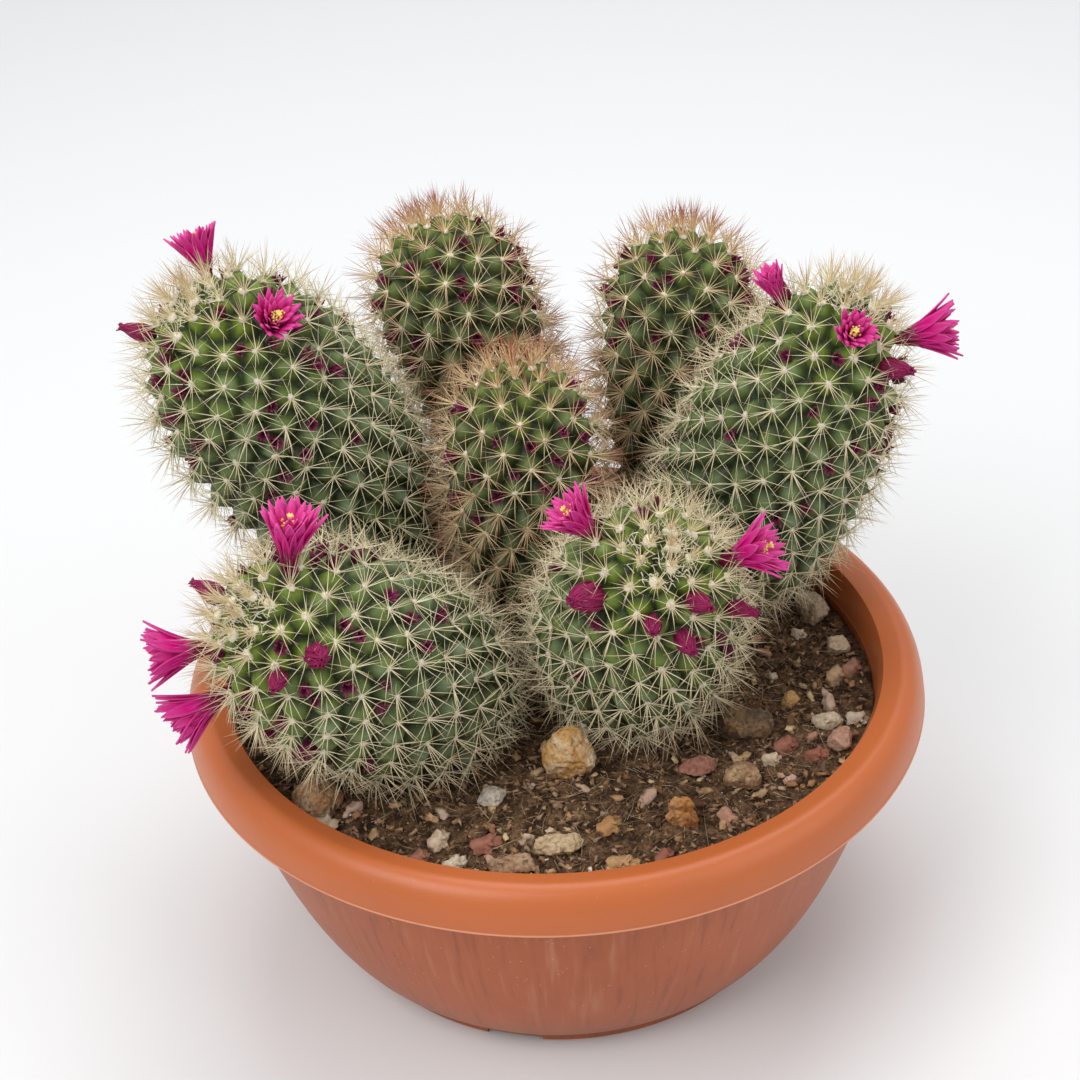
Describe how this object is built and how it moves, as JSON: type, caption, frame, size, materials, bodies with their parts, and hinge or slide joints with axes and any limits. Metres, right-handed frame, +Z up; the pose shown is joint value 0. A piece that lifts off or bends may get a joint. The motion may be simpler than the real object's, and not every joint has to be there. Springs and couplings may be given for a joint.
{
  "type": "potted round cactus",
  "caption": "Shallow round terracotta-coloured plastic bowl planted with a cluster of spiny club-shaped cactus stems in flower, on gritty soil with stones.",
  "frame": {"origin": "centre of the bowl's underside, on the surface that the bowl stands on and on the bowl's own axis", "axes": "+Z up along the bowl's axis; -Y towards the front, where the two low stems lean out over the soil; +X to the right seen from the front"},
  "size_m": [0.2735, 0.2597, 0.2464],
  "materials": {
    "bowl_plastic": "satin",
    "potting_soil": "rough",
    "cactus_flesh": "waxy, satin",
    "petal": "soft, satin",
    "bud": "soft, satin",
    "pale_stone": "rough",
    "reddish_stone": "rough",
    "bark": "rough"
  },
  "bodies": {
    "root": {"bowl": "bowl_plastic", "soil": "potting_soil", "stem_left": "cactus_flesh", "stem_back_left": "cactus_flesh", "stem_back_right": "cactus_flesh", "stem_centre": "cactus_flesh", "stem_right": "cactus_flesh", "stem_front_left": "cactus_flesh", "stem_front_right": "cactus_flesh", "flower_left_facing": "petal", "flower_left_crown": "petal", "flower_front_left_upright": "petal", "flower_front_left_side": "petal", "flower_front_left_low": "petal", "flower_front_right_inner": "petal", "flower_front_right_outer": "petal", "flower_right_wilted": "petal", "flower_right_half_open": "petal", "flower_right_side": "petal", "bud_left_side": "bud", "bud_front_left_upper": "bud", "bud_front_left_middle": "bud", "bud_front_left_crown": "bud", "bud_front_right_fat": "bud", "bud_front_right_right": "bud", "bud_front_right_middle": "bud", "bud_front_right_left": "bud", "bud_front_right_side": "bud", "bud_right_top": "bud", "bud_right_side": "bud", "stone_large_cream": "pale_stone", "stone_large_speckled": "reddish_stone", "stone_small_pale": "pale_stone", "stone_long_tan": "pale_stone", "stone_flat_grey": "reddish_stone", "stone_cream_by_rim": "pale_stone", "stone_pink_by_rim": "reddish_stone", "stone_cream_right": "pale_stone", "stone_orange_ball": "reddish_stone", "stone_brown": "reddish_stone", "stone_reddish": "reddish_stone", "bark_chip_upright": "bark", "bark_chip_flat": "bark", "bark_chip_rim": "bark"}
  },
  "joints": []
}
